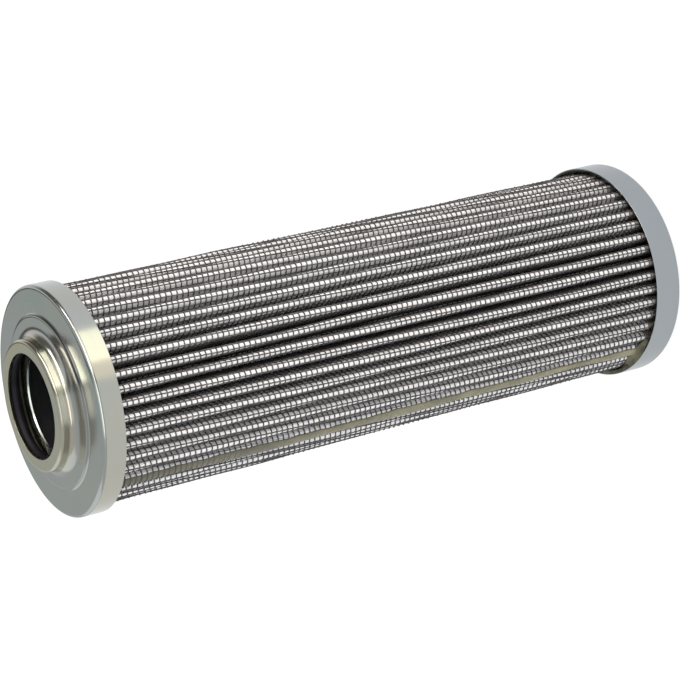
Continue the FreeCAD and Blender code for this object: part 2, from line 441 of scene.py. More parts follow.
@dataclass(frozen=True)
class ZincPlating(Finish):
    """Bright passivated zinc on pressed sheet, with faint rainbow patches."""

    name: str = "zinc_plating"
    grey: Colour = (0.40, 0.425, 0.43)
    straw: Colour = (0.46, 0.44, 0.33)
    rose: Colour = (0.47, 0.40, 0.43)
    teal: Colour = (0.31, 0.41, 0.39)
    brass: Colour = (0.48, 0.46, 0.325)
    rose_gold: Colour = (0.52, 0.42, 0.34)
    roughness: Span = (0.15, 0.22)
    streak_height: float = 0.01 * MM
    neck_radius: float = 21.0 * MM  # inside this the drawn metal has a yellower film
    neck_height: float = 204.2 * MM
    skirt_radius: float = 34.0 * MM
    warm_side: float = math.radians(-125.0)  # the open cap's skirt is yellower about here
    warm_reach: Span = (math.radians(60.0), math.radians(25.0))
    cup_below: float = 100.0 * MM  # the closed cap is of a cooler batch
    cool: Colour = (0.43, 0.47, 0.51)
    cup_rim: float = 9.5 * MM  # height of the closed cap's rim
    painted_rim_shade: Colour = (0.07, 0.07, 0.055)  # painted shade on the inner edge of the closed cap's rim
    painted_edge_shade: Colour = (0.09, 0.095, 0.09)  # painted shade and dark reflection, a dull line along the platform's edge
    painted_shade_radius: float = 25.45 * MM
    painted_shade_width: float = 0.62 * MM
    painted_shade_side: float = math.radians(-30.0)  # the painted shade is deepest here
    painted_shade_reach: Span = (math.radians(40.0), math.radians(62.0))

    def paint(self, graph: Graph, effects: Effects) -> dict[str, Value]:
        """Shader inputs for the caps and the washer.

        Args:
            graph: Graph of the material.
            effects: Shared effect groups.

        Returns:
            Input name to value.
        """
        radius, angle, height = effects.find_place(graph)
        ramp, times = graph.ramp, graph.times
        straw_patch = graph.mask(effects.blotches, Scale=45.0, Seed=1.0)
        rose_patch = graph.mask(effects.blotches, Scale=70.0, Seed=5.0)
        teal_patch = graph.mask(effects.blotches, Scale=30.0, Seed=9.0)
        streaks = graph.mask(effects.drawn_streaks, Fineness=4000.0)
        bands = ramp(graph.mask(effects.drawn_streaks, Fineness=700.0, Seed=3.0), 0.5, 0.62, 0.0, 0.5)

        inside = ramp(radius, self.neck_radius, self.neck_radius - 1.5 * MM)
        above = ramp(height, self.neck_height - 0.5 * MM, self.neck_height + 1.0 * MM)
        drawn = times(inside, above)
        skirt = ramp(radius, self.skirt_radius - 0.3 * MM, self.skirt_radius)
        warm = ramp(graph.apart(angle, self.warm_side), *self.warm_reach, 0.0, 0.45)
        cup = ramp(height, self.cup_below, 0.8 * self.cup_below)
        rim = ramp(height, self.cup_rim - 1.2 * MM, self.cup_rim - 0.8 * MM)
        inward = ramp(radius, self.skirt_radius - 0.2 * MM, self.skirt_radius - 0.35 * MM)
        # Mask of the painted shade and dark reflection along the platform's edge
        off_painted_shade = graph.apart(radius, self.painted_shade_radius)
        line = ramp(off_painted_shade, 0.5 * self.painted_shade_width, 0.2 * self.painted_shade_width)
        outside = ramp(height, self.neck_height - 2.0 * MM, self.neck_height - 1.6 * MM)
        deep = ramp(graph.apart(angle, self.painted_shade_side), *self.painted_shade_reach, 1.0, 0.3)

        colour = self.grey
        for share, film in (
            (times(teal_patch, 0.5), self.teal),
            (times(straw_patch, 0.35), self.straw),
            (times(rose_patch, 0.32), self.rose),
            (times(drawn, ramp(straw_patch, 0.0, 1.0, 0.45, 0.95)), self.brass),
            (times(drawn, bands), self.rose_gold),
            (times(skirt, warm), self.straw),
            (times(cup, 0.8), self.cool),
            # painted shade on the closed cap's rim, along its inner edge
            (times(rim, inward, cup), self.painted_rim_shade),
            # painted shade and dark reflection at the platform's edge
            (times(line, deep, outside), self.painted_edge_shade),
        ):
            colour = graph.mix(share, colour, film)
        return {
            "Base Color": colour,
            "Metallic": 1.0,
            "Roughness": ramp(streaks, 0.3, 0.7, *self.roughness),
            "Normal": graph.bump(streaks, self.streak_height, 0.12),
        }


@dataclass(frozen=True)
class BlackCoat(Finish):
    """Black surface with paler worn patches: the wires' epoxy, the ring's rubber, the core's plastic."""

    colour: Colour
    worn: float  # how much paler a worn patch is
    scale: float
    seed: float
    roughness: Span  # whole and worn
    specular: float
    grain: float = 0.0  # height of the patches

    def paint(self, graph: Graph, effects: Effects) -> dict[str, Value]:
        """Shader inputs for a black piece.

        Args:
            graph: Graph of the material.
            effects: Shared effect groups.

        Returns:
            Input name to value.
        """
        patch = graph.mask(effects.blotches, Scale=self.scale, Seed=self.seed)
        inputs = {
            "Base Color": graph.mix(patch, self.colour, tuple(self.worn * c for c in self.colour)),
            "Specular IOR Level": self.specular,
            "Roughness": graph.ramp(patch, 0.0, 1.0, *self.roughness),
        }
        if self.grain:
            inputs["Normal"] = graph.bump(patch, self.grain, 0.3)
        return inputs


COATED_WIRE = BlackCoat(
    name="coated_wire",
    colour=(0.046, 0.041, 0.042),
    worn=1.8,
    scale=400.0,
    seed=2.0,
    roughness=(0.44, 0.62),
    specular=0.3,
)
SEAL_RUBBER = BlackCoat(
    name="seal_rubber",
    colour=(0.004, 0.0035, 0.005),
    worn=1.8,
    scale=300.0,
    seed=7.0,
    roughness=(0.4, 0.55),
    specular=0.18,
)
CORE_MOULDING = BlackCoat(
    name="core_moulding",
    colour=(0.007, 0.007, 0.008),
    worn=1.7,
    scale=500.0,
    seed=8.0,
    roughness=(0.54, 0.7),
    specular=0.25,
    grain=0.03 * MM,
)


@dataclass(frozen=True)
class Fleece(Finish):
    """Off-white non-woven cloth, soaked beside the seam, and darker next to the closed cap."""

    name: str = "fleece_cloth"
    light: Colour = (0.475, 0.46, 0.465)
    shade: Colour = (0.405, 0.39, 0.405)
    soaked: Colour = (0.36, 0.33, 0.21)
    seam_lean: Span = (math.radians(5.0), math.radians(2.4))  # at the closed and open cap
    soaked_reach: Span = (math.radians(3.5), math.radians(3.7))  # on each side of it
    soaked_heights: Span = (0.12, 0.19)  # the reach grows between these
    closed_end_dark: Colour = (0.075, 0.068, 0.045)
    closed_end_dark_height: float = 9.2 * MM  # the fleece is darker up to here from the closed cap
    closed_end_dark_rise: float = 1.0 * MM  # and so much higher beside the seam
    closed_end_dark_reach: Span = (math.radians(26.0), math.radians(10.0))

    def paint(self, graph: Graph, effects: Effects) -> dict[str, Value]:
        """Shader inputs for the fleece and the plies behind it.

        Args:
            graph: Graph of the material.
            effects: Shared effect groups.

        Returns:
            Input name to value.
        """
        _, angle, height = effects.find_place(graph)
        tangle = graph.mask(effects.fibres, Scale=2600.0)
        patch = graph.mask(effects.blotches, Scale=220.0, Seed=3.0)
        soft = graph.mask(effects.blotches, Scale=260.0, Seed=11.0)
        grain = graph.ramp(graph.plus(tangle, graph.times(patch, 0.08)), 0.42, 0.62)
        cloth = graph.mix(grain, self.shade, self.light)

        lean = graph.ramp(height, 0.0, 0.2, *self.seam_lean)
        off_crest = graph.apart(graph.plus(angle, lean), SEAM_AZIMUTH)
        reach = graph.ramp(height, *self.soaked_heights, *self.soaked_reach)
        ragged = graph.plus(graph.math("DIVIDE", off_crest, reach), graph.times(soft, 0.35))
        cloth = graph.mix(graph.ramp(ragged, 1.0, 0.6, 0.0, 0.8), cloth, self.soaked)

        off_seam = graph.apart(angle, SEAM_AZIMUTH)
        beside = graph.ramp(off_seam, *self.closed_end_dark_reach, 0.0, self.closed_end_dark_rise)
        climb = graph.plus(graph.math("SUBTRACT", height, beside), graph.times(soft, -1.0 * MM))
        low = graph.ramp(climb, self.closed_end_dark_height, self.closed_end_dark_height - 1.6 * MM, 0.0, 0.92)
        return {
            "Base Color": graph.mix(low, cloth, self.closed_end_dark),
            "Roughness": 0.9,
            "Normal": graph.bump(tangle, 0.12 * MM, 0.6),
        }


@dataclass(frozen=True)
class GlassFibreWeb(Finish):
    """Felt of fine glass fibres, faintly yellow."""

    name: str = "glass_fibre_felt"
    light: Colour = (0.82, 0.81, 0.74)
    shade: Colour = (0.62, 0.60, 0.52)

    def paint(self, graph: Graph, effects: Effects) -> dict[str, Value]:
        """Shader inputs for the filter medium.

        Args:
            graph: Graph of the material.
            effects: Shared effect groups.

        Returns:
            Input name to value.
        """
        tangle = graph.mask(effects.fibres, Scale=5200.0)
        cloud = graph.mask(effects.blotches, Scale=500.0, Seed=14.0)
        share = graph.times(tangle, graph.ramp(cloud, 0.0, 1.0, 0.7, 1.0))
        return {
            "Base Color": graph.mix(share, self.shade, self.light),
            "Roughness": 0.95,
            "Normal": graph.bump(tangle, 0.08 * MM, 0.5),
        }


@dataclass(frozen=True)
class OliveAdhesive(Finish):
    """Cured epoxy, half glossy, uneven in colour."""

    name: str = "olive_epoxy"
    light: Colour = (0.150, 0.136, 0.084)
    dark: Colour = (0.095, 0.087, 0.054)
    roughness: float = 0.36
    deep_heights: Span = (60.0 * MM, 185.0 * MM)  # the colour sinks slowly between these
    deep_share: float = 0.72

    def paint(self, graph: Graph, effects: Effects) -> dict[str, Value]:
        """Shader inputs for the seam and the potting.

        Args:
            graph: Graph of the material.
            effects: Shared effect groups.

        Returns:
            Input name to value.
        """
        height = effects.find_place(graph)[2]
        patch = graph.mask(effects.blotches, Scale=160.0, Seed=4.0)
        fine = graph.mask(effects.blotches, Scale=900.0, Seed=6.0)
        share = graph.ramp(graph.plus(patch, graph.times(fine, 0.4)), 0.2, 1.1)
        deep = graph.ramp(height, *self.deep_heights, 0.0, self.deep_share)
        sunk = tuple(0.35 * c for c in self.dark)
        return {
            "Base Color": graph.mix(deep, graph.mix(share, self.light, self.dark), sunk),
            "Roughness": graph.ramp(fine, 0.0, 1.0, self.roughness - 0.08, self.roughness + 0.15),
            "Normal": graph.bump(fine, 0.1 * MM, 0.4),
        }


POTTING_EPOXY = OliveAdhesive(
    name="potting_epoxy",
    light=(0.085, 0.077, 0.04),
    dark=(0.04, 0.036, 0.02),
    roughness=0.5,
    deep_share=0.0,
)


@dataclass(frozen=True)
class DrainageWire(Finish):
    """Fine plain woven stainless cloth, drawn as a pattern because single wires are under 0.2 mm."""

    name: str = "drainage_cloth"
    colour: Colour = (0.42, 0.42, 0.40)
    gap: Colour = (0.10, 0.10, 0.10)
    wires_per_metre: float = 1600.0

    def paint(self, graph: Graph, effects: Effects) -> dict[str, Value]:
        """Shader inputs for the inner mesh.

        Args:
            graph: Graph of the material.
            effects: Shared effect groups.

        Returns:
            Input name to value.
        """
        height = effects.find_place(graph)[2]
        wave = graph.math("SINE", graph.times(height, self.wires_per_metre * FULL_TURN))
        hoops = graph.ramp(wave, -0.2, 0.6)
        patch = graph.mask(effects.blotches, Scale=900.0, Seed=12.0)
        return {
            "Base Color": graph.mix(hoops, self.gap, self.colour),
            "Metallic": 0.8,
            "Roughness": graph.ramp(patch, 0.0, 1.0, 0.35, 0.5),
            "Normal": graph.bump(hoops, 0.1 * MM, 0.6),
        }


# The pleated pack


@dataclass
class PackForm:
    """Fold of the pleated pack, as a path that every ply and wire follows."""

    pleats: int = 46
    crest_half_width: float = 1.35 * MM
    root_bend: float = 0.148 * MM  # bend radius of the pack's outer surface at a root
    mesh_depth: float = 0.225 * MM  # middle of the outer mesh below the pack's outer surface
    sway: float = 0.16 * MM  # how far the folds wander sideways
    swell: float = 0.12 * MM  # how far the tips wander in and out
    # Waves of the wandering round the pack, its turns over the height and its phase
    waves: tuple[Wave, ...] = (
        (5, 0.7, 0.3),
        (11, 1.3, 2.1),
        (17, -1.1, 4.0),
        (21, 1.9, 1.2),
    )
    seam_half_width: float = 2.6 * MM
    seam_swell: Span = (1.6 * MM, 0.75 * MM)  # how much wider the seam's crest is on each side
    swell_reach: float = 3.0 * MM
    lean: float = math.radians(1.6)  # how far the folds beside the seam lean at the closed cap
    lean_reach: float = math.radians(75.0)
    # How far the tips lean at the seam and beside it, by degrees round from the seam
    seam_lean: tuple[Span, ...] = (
        (-34.0, 0.4),
        (-16.0, 2.3),
        (-8.0, 2.5),
        (0.0, 1.9),
        (8.0, -0.7),
        (16.0, -0.8),
        (50.0, 0.0),
    )

    def __post_init__(self) -> None:
        """Read the pack's outer sizes from the frame and work out the fold's stretches."""
        low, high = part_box("outer_mesh")
        self.bottom = low.z
        self.top = high.z
        self.tip_radius = node_radius("outer_mesh")
        self.half_pitch = math.pi / self.pleats
        self.crest_centre = self.tip_radius - self.crest_half_width
        self.root_centre = (self.crest_half_width + self.root_bend) / math.sin(self.half_pitch)
        self.leg_foot = self.root_centre * math.cos(self.half_pitch)
        self.half_crest = QUARTER_TURN * (self.crest_half_width - self.mesh_depth)
        self.leg = self.crest_centre - self.leg_foot
        self.root_turn = math.pi - 2 * self.half_pitch
        self.root_arc = self.root_turn * (self.root_bend + self.mesh_depth)
        self.pleat_length = 2 * self.half_crest + 2 * self.leg + self.root_arc
        self.web_length = self.pleats * self.pleat_length

    def trace(self, travel: Numbers, depth: Numbers, height: Numbers) -> tuple[np.ndarray, np.ndarray]:
        """Points and outward normals on the folded pack.

        Args:
            travel: Way along the unfolded web, from the middle of the seam's crest.
            depth: Distance below the pack's outer surface.
            height: Height of each point.

        Returns:
            Arrays of points and of normals, both in the part's frame.
        """
        travel, depth, height = np.broadcast_arrays(travel, depth, height)
        pleat = np.floor(travel / self.pleat_length)
        within = travel - pleat * self.pleat_length
        ends = np.cumsum([self.half_crest, self.leg, self.root_arc, self.leg, self.half_crest])
        stretch = np.searchsorted(ends[:4], within.ravel(), side="right").reshape(within.shape)

        # Each stretch is an arc, or a leg whose centre travels, about the radial line that it is near
        in_root = stretch == 2
        centre = np.choose(stretch, [
            self.crest_centre,
            self.crest_centre - (within - ends[0]),
            self.root_centre,
            self.leg_foot + (within - ends[2]),
            self.crest_centre,
        ])
        angle = np.choose(stretch, [
            within / self.half_crest * QUARTER_TURN,
            QUARTER_TURN,
            -(QUARTER_TURN + self.half_pitch) - (within - ends[1]) / self.root_arc * self.root_turn,
            -QUARTER_TURN,
            (within - ends[4]) / self.half_crest * QUARTER_TURN,
        ])
        bend = np.where(in_root, self.root_bend + depth, self.crest_half_width - depth)
        line = pleat + np.choose(stretch, [0.0, 0.0, 0.5, 1.0, 1.0])
        azimuth = SEAM_AZIMUTH + 2 * self.half_pitch * line
        facing = azimuth + angle
        x = centre * np.cos(azimuth) + bend * np.cos(facing)
        y = centre * np.sin(azimuth) + bend * np.sin(facing)
        return self.swayed(x, y, height), polar(np.where(in_root, -1.0, 1.0), facing, 0.0)

    def seam_mask(self, travel: np.ndarray) -> np.ndarray:
        """One on the seam's crest and zero away from it."""
        off_seam = (travel + 0.5 * self.web_length) % self.web_length - 0.5 * self.web_length
        return np.exp(-((off_seam / self.seam_half_width) ** 6))

    def swayed(self, x: np.ndarray, y: np.ndarray, height: np.ndarray) -> np.ndarray:
        """Move points as the folds wander and lean, the same for every ply.

        Args:
            x: First coordinate of the even folds.
            y: Second coordinate of the even folds.
            height: Height of each point.

        Returns:
            The moved points.
        """
        radius = np.hypot(x, y)
        azimuth = np.arctan2(y, x)
        along = (height - self.bottom) / (self.top - self.bottom)
        free = np.clip(6 * along * (1 - along), 0, 1)
        share = np.clip((radius - self.leg_foot) / self.leg, 0, 1.2)
        sideways = np.zeros_like(radius)
        outward = np.zeros_like(radius)
        for waves, turns, phase in self.waves:
            angle = waves * azimuth + FULL_TURN * turns * along + phase
            sideways += 0.5 * np.sin(angle)
            outward += 0.5 * np.cos(1.7 * angle + phase)
        off_seam = (azimuth - SEAM_AZIMUTH + math.pi) % FULL_TURN - math.pi
        seam_way = off_seam * radius
        swell = np.where(seam_way < 0, *self.seam_swell)
        widening = swell * np.sin(np.clip(seam_way / self.swell_reach, -1, 1) * math.pi)
        fading = (1 + np.cos(np.clip(off_seam / self.lean_reach, -1, 1) * math.pi)) / 2
        places, leans = zip(*self.seam_lean)
        leaning = self.lean * (1 - along) * fading
        leaning = leaning + np.radians(np.interp(np.degrees(off_seam), places, leans))
        azimuth = azimuth + share * ((free * self.sway * sideways + widening) / radius - leaning)
        return polar(radius + share * free * self.swell * outward, azimuth, height)

    def web_steps(self, crest_steps: int, leg_steps: list[float], root_steps: int) -> np.ndarray:
        """Travel of the points that the whole web needs.

        Args:
            crest_steps: Number of steps over half a crest.
            leg_steps: Distances down each leg from the crest's bend.
            root_steps: Number of steps round the root's bend.

        Returns:
            Travel from the seam's crest, without the web's last point.
        """
        crest = np.linspace(0, self.half_crest, crest_steps + 1)
        leg = self.half_crest + np.array(leg_steps)
        root = self.half_crest + self.leg + np.linspace(0, self.root_arc, root_steps + 1)
        mirrored = [self.pleat_length - part[::-1] for part in (leg, crest)]
        one = np.concatenate((crest, leg, root, *mirrored))[:-1]
        return (np.arange(self.pleats)[:, None] * self.pleat_length + one).ravel()


def sweep_wires(
    paths: np.ndarray, normals: np.ndarray, radius: float, closed: bool
) -> tuple[np.ndarray, np.ndarray]:
    """Three-sided wires along many paths with equal numbers of points.

    Args:
        paths: Points, by wire and by place along it.
        normals: A direction across each wire at each point.
        radius: Radius of the wires.
        closed: Whether each wire joins its own start.

    Returns:
        Vertices and faces of all wires.
    """
    sides = 3
    count, length, _ = paths.shape
    if closed:
        forward = np.roll(paths, -1, axis=1) - np.roll(paths, 1, axis=1)
    else:
        forward = np.gradient(paths, axis=1)
    forward /= np.linalg.norm(forward, axis=-1, keepdims=True)
    across = normals - forward * np.sum(normals * forward, axis=-1, keepdims=True)
    across /= np.linalg.norm(across, axis=-1, keepdims=True)
    binormal = np.cross(forward, across)
    angles = ring_angles(sides)[:, None]
    ring = across[:, :, None] * np.cos(angles) + binormal[:, :, None] * np.sin(angles)
    points = paths[:, :, None] + radius * ring
    one = grid_faces(length, sides, closed)
    if not closed:
        last = (length - 1) * sides
        one = np.concatenate((one, [[2, 1, 0, 0], [last, last + 1, last + 2, last + 2]]))
    offsets = np.arange(count) * length * sides
    return points, (one[None] + offsets[:, None, None]).reshape(-1, 4)


@dataclass
class OuterMesh:
    """Woven wire mesh that follows the folds: hoop wires over and under lengthwise wires."""

    form: PackForm
    hoop_pitch: float = 1.783 * MM
    lengthwise_wires: int = 577
    hoop_radius: float = 0.245 * MM
    lengthwise_radius: float = 0.215 * MM
    crimp: float = 0.09 * MM
    skew: float = 0.035  # sideways drift of the lengthwise wires for each metre of height
    end_margin: float = 1.2 * MM
    wire_end: float = 0.2 * MM  # how far the lengthwise wires stop short of the pack's ends
    hoop_groups: int = 3
    lengthwise_stations: int = 25
    upper_leg_steps: Span = (1.0 * MM, 2.1 * MM)
    seam_sink: float = 0.3 * MM  # how much deeper the lengthwise wires lie in the seam's bead

    def __post_init__(self) -> None:
        """Space the lengthwise wires evenly over the whole web."""
        self.lengthwise_pitch = self.form.web_length / self.lengthwise_wires

    def drift(self, height: np.ndarray) -> np.ndarray:
        """How far the lengthwise wires have moved along the web at a height."""
        return self.skew * (height - self.form.bottom)

    def build_hoops(self) -> list[Piece]:
        """The wires that run round the pack, in groups from bottom to top.

        Returns:
            One piece for each group.
        """
        form = self.form
        travel = form.web_steps(3, [*self.upper_leg_steps, 0.5 * form.leg], 1)
        usable = form.top - form.bottom - 2 * self.end_margin
        count = int(usable / self.hoop_pitch)
        first = form.bottom + self.end_margin + 0.5 * (usable - count * self.hoop_pitch)
        crimp = self.crimp * (1 - form.seam_mask(travel))
        pieces = []
        for group, numbers in enumerate(np.array_split(np.arange(count + 1)[:, None], self.hoop_groups)):
            height = first + numbers * self.hoop_pitch
            phase = (travel - self.drift(height)) / self.lengthwise_pitch + numbers
            depth = form.mesh_depth + crimp * np.cos(math.pi * phase)
            wires = sweep_wires(*form.trace(travel, depth, height), self.hoop_radius, True)
            pieces.append(add_piece(f"hoop_wires_{group + 1}", *wires))
        return pieces

    def build_lengthwise(self) -> Piece:
        """The wires that run along the pack, slightly askew to its folds.

        Returns:
            All of them as one piece.
        """
        form = self.form
        low, high = form.bottom + self.wire_end, form.top - self.wire_end
        height = np.linspace(low, high, self.lengthwise_stations)
        travel = np.arange(self.lengthwise_wires)[:, None] * self.lengthwise_pitch + self.drift(height)
        depth = form.mesh_depth + self.seam_sink * form.seam_mask(travel)
        wires = sweep_wires(*form.trace(travel, depth, height), self.lengthwise_radius, False)
        return add_piece("lengthwise_wires", *wires)


@dataclass
class Ply:
    """One cloth or web of the pack between two depths, closed all round."""

    form: PackForm
    name: str
    outer_depth: float
    inner_depth: float
    crest_steps: int = 2
    root_steps: int = 2
    stations: int = 12
    seam_seat: float = 2.6 * MM
    climb: float = 0.0  # how much further the ply's ends go up the seam's crest
    climb_steps: int = 5

    def build(self) -> Piece:
        """The folded ply as one closed strip that ends at both sides of the seam.

        Returns:
            The ply.
        """
        form = self.form
        travel = form.web_steps(self.crest_steps, [0.5 * form.leg], self.root_steps)
        seat = form.half_crest + self.seam_seat - form.crest_half_width
        end = form.web_length - seat
        inside = travel[(travel > seat + SAME_PLACE) & (travel < end - SAME_PLACE)]
        climbing = np.linspace(0, self.climb, self.climb_steps + 1)[1:] if self.climb else np.empty(0)
        travel = np.concatenate((seat - climbing[::-1], [seat], inside, [end], end + climbing))
        height = np.linspace(form.bottom, form.top, self.stations)[:, None]
        outer, _ = form.trace(travel, self.outer_depth, height)
        inner, _ = form.trace(travel, self.inner_depth, height)
        section = np.concatenate((outer, inner[:, ::-1]), axis=1)
        rows, columns, _ = section.shape
        near = np.arange(columns // 2 - 1)
        bottom = np.stack((near, columns - 1 - near, columns - 2 - near, near + 1), axis=1)
        top = bottom[:, ::-1] + (rows - 1) * columns
        faces = np.concatenate((grid_faces(rows, columns, False), bottom, top))
        return add_piece(self.name, section, faces, 50.0)


def step_at(way: np.ndarray, width: float) -> np.ndarray:
    """Soft step from 0 to 1 where the way passes zero."""
    return 0.5 + 0.5 * np.tanh(way / width)


def share_between(height: np.ndarray, start: float, end: float) -> np.ndarray:
    """Share of the way from one height to another, held at 0 and 1."""
    return np.clip((height - start) / (end - start), 0, 1)


@dataclass
class SeamBead:
    """Adhesive bead along the seam's crest, of uneven width."""

    form: PackForm
    stations: int = 420
    around: int = 30
    covered: float = -0.02 * MM  # depth of the bead where it covers the mesh's wires
    combed: float = 0.42 * MM  # depth where the wires stand out of it like a comb
    sunk: float = 0.8 * MM  # depth beside the film, below the fleece
    thin: float = 0.36 * MM  # how much thinner the film is at the open cap
    thin_heights: Span = (140 * MM, 180 * MM)  # the film thins out between these
    comb_heights: Span = (90 * MM, 65 * MM)  # the comb widens between these, downward
    keel: float = 2.6 * MM  # how deep the bead reaches into the crest
    flank: float = 1.25 * MM  # how far its skin goes past the crest's bend
    comb_edge: Span = (0.9 * MM, 0.4 * MM)  # where the comb starts, and how much nearer it comes
    film_edge: Span = (1.15 * MM, 0.3 * MM)  # where the film ends behind it, and how much further out
    far_edge: Span = (1.0 * MM, 0.4 * MM)  # its other edge, and how much further out when thin
    wander: float = 0.3 * MM  # how far both edges of the comb sway over the height
    wander_waves: float = 4.2
    comb_slope: float = 0.3 * MM  # half the width over which the comb sinks
    film_slope: float = 0.2 * MM  # the same at the film's two edges
    edge_lumps: Span = (0.04 * MM, 0.05 * MM)  # raggedness of the comb's side and of the far side
    lump_height: float = 0.012 * MM
    # Waves over the height, their lean over the width and their phase, for lumps in the bead
    waves: tuple[Wave, ...] = (
        (3.0, 0.6, 0.5),
        (7.3, -0.9, 1.9),
        (13.7, 1.4, 3.1),
        (29.0, 0.3, 0.2),
    )

    def build(self) -> Piece:
        """The bead as a closed bar.

        Returns:
            The bead.
        """
        form = self.form
        height = np.linspace(form.bottom, form.top, self.stations)[:, None]
        reach = form.half_crest + self.flank
        way = np.linspace(-reach, reach, self.around)
        along = (height - form.bottom) / (form.top - form.bottom)
        lumps = sum(
            np.sin(FULL_TURN * waves * along + lean * way / MM + phase) for waves, lean, phase in self.waves
        )
        wander = self.wander * np.sin(FULL_TURN * self.wander_waves * along + 0.6)
        ragged, far_ragged = (size * lumps for size in self.edge_lumps)
        thinned = share_between(height, *self.thin_heights)
        bared = share_between(height, *self.comb_heights)
        comb_edge = self.comb_edge[0] - self.comb_edge[1] * bared + wander + ragged
        film_edge = self.film_edge[0] + self.film_edge[1] * bared + wander + ragged
        far_edge = self.far_edge[0] + self.far_edge[1] * thinned - far_ragged
        comb = step_at(-way - comb_edge, self.comb_slope)
        beside = step_at(-way - film_edge, self.film_slope)
        beyond = step_at(way - far_edge, self.film_slope)
        film = self.covered + comb * (self.combed - self.covered)
        depth = np.maximum(film, self.covered + self.thin * thinned)
        depth = depth + (self.sunk - depth) * np.maximum(beside, beyond) + self.lump_height * lumps
        skin, _ = form.trace(way, depth, height)
        keel = polar(form.tip_radius - self.keel, SEAM_AZIMUTH, height)
        section = np.concatenate((skin, keel), axis=1)
        rows, columns, _ = section.shape
        near = np.arange(columns - 2)
        keel_row = np.full_like(near, columns - 1)
        bottom = np.stack((keel_row, near + 1, near, near), axis=1)
        top = np.stack((keel_row, near, near + 1, near + 1), axis=1) + (rows - 1) * columns
        faces = np.concatenate((grid_faces(rows, columns, False), bottom, top))
        return add_piece("seam_bead", section, faces)


# Caps, seal and potting


@dataclass
class EndCaps:
    """The two pressed caps, with the washer that the open one holds."""

    sheet: float = 0.8 * MM
    bend: float = 1.2 * MM
    rim_round: float = 0.09 * MM
    platform_rise: float = 0.7 * MM
    platform_radius: float = 25.2 * MM
    platform_slope: float = 1.0 * MM
    edge_reach: Span = (0.75, -0.5)  # the slope's foot and top, in shares of its width
    edge_steps: int = 12
    neck_fillet: float = 2.5 * MM
    fillet_width: float = 3.0 * MM  # the platform rises softly to the neck's fillet
    ring_clearance: float = 0.05 * MM  # between the O-ring and the neck's wall
    lip_bend: float = 1.0 * MM
    bore_radius: float = 15.5 * MM
    neck_rise: float = 5.0 * MM
    washer_slant: float = 0.2 * MM
    segments: int = 256

    def __post_init__(self) -> None:
        """Read the caps' outer sizes from the frame."""
        closed_low, closed_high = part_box("closed_end_cap")
        open_low, open_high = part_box("open_end_cap")
        self.radius = node_radius("open_end_cap")
        self.inner = self.radius - self.sheet
        self.closed_rim = closed_high.z
        self.closed_base = closed_low.z
        self.open_rim = open_low.z
        self.lip_top = open_high.z
        self.platform_top = self.lip_top - self.neck_rise
        self.face = self.platform_top - self.platform_rise
        self.neck_radius = node_radius("neck_o_ring") + self.ring_clearance + self.sheet

    def build_closed(self) -> Piece:
        """Drawn cup without a hole.

        Returns:
            The closed cap.
        """
        base, rim, edge = self.closed_base, self.closed_rim, self.rim_round
        centre = (self.radius - self.bend, base + self.bend)
        profile = Profile(0, base).line((centre[0], base))
        profile.arc(centre, self.bend, -90, 0).line((self.radius, rim - edge))
        profile.arc((self.radius - edge, rim - edge), edge, 0, 90, 3)
        profile.line((self.inner, rim), (self.inner, centre[1]))
        profile.arc(centre, self.bend - self.sheet, 0, -90, 3).line((0, base + self.sheet))
        return turn("closed_cap_shell", profile, self.segments)

    def build_open(self) -> Piece:
        """Pressing with platform, neck and turned-in lip.

        Returns:
            The open cap.
        """
        sheet, edge = self.sheet, self.rim_round
        flat = self.radius - self.bend
        bend = (flat, self.face - self.bend)
        fillet_height = self.platform_top + self.neck_fillet
        soft_fillet = (self.neck_radius + self.fillet_width, fillet_height)
        fillet = (self.neck_radius + self.neck_fillet, fillet_height)
        lip = (self.neck_radius - self.lip_bend, self.lip_top - self.lip_bend)
        profile = Profile(self.radius, self.open_rim + edge).line((self.radius, bend[1]))
        profile.arc(bend, self.bend, 0, 90).line((self.platform_radius + self.platform_slope, self.face))
        profile.line(*self._edge(0.0))
        profile.arc(soft_fillet, (self.fillet_width, self.neck_fillet), -90, -180, 12)
        profile.line((self.neck_radius, lip[1])).arc(lip, self.lip_bend, 0, 90)
        profile.line((self.bore_radius + edge, self.lip_top))
        profile.arc((self.bore_radius + edge, self.lip_top - edge), edge, 90, 180, 3)
        profile.line((self.bore_radius, self.lip_top - sheet), (lip[0], self.lip_top - sheet))
        profile.arc(lip, self.lip_bend - sheet, 90, 0, 3).line((self.neck_radius - sheet, fillet[1]))
        profile.arc(fillet, self.neck_fillet + sheet, 180, 270)
        profile.line(*self._edge(sheet)[::-1], (flat, self.face - sheet))
        profile.arc(bend, self.bend - sheet, 90, 0, 3)
        profile.line((self.inner, self.open_rim), (self.radius - edge, self.open_rim))
        profile.arc((self.radius - edge, self.open_rim + edge), edge, -90, 0, 3)
        return turn("open_cap_shell", profile, self.segments)

    def _edge(self, drop: float) -> list[Span]:
        """The platform's edge, crisp at its foot and soft above.

        Args:
            drop: How far the edge lies below the outside of the sheet.

        Returns:
            Radii and heights from the foot up to the platform.
        """
        share = np.linspace(0, 1, self.edge_steps + 1)
        foot, top = self.edge_reach
        radii = self.platform_radius + (foot + (top - foot) * share) * self.platform_slope
        heights = self.face - drop + (1 - (1 - share) ** 2) * self.platform_rise
        return list(zip(radii, heights))

    def build_retainer(self) -> Piece:
        """Washer under the platform, whose punched edge slants.

        Returns:
            The washer.
        """
        low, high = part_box("o_ring_retainer")
        outer = node_radius("o_ring_retainer")
        profile = Profile(self.bore_radius, low.z).line((outer, low.z), (outer, high.z))
        profile.line((self.bore_radius + self.washer_slant, high.z))
        return turn("retaining_washer", profile, self.segments)


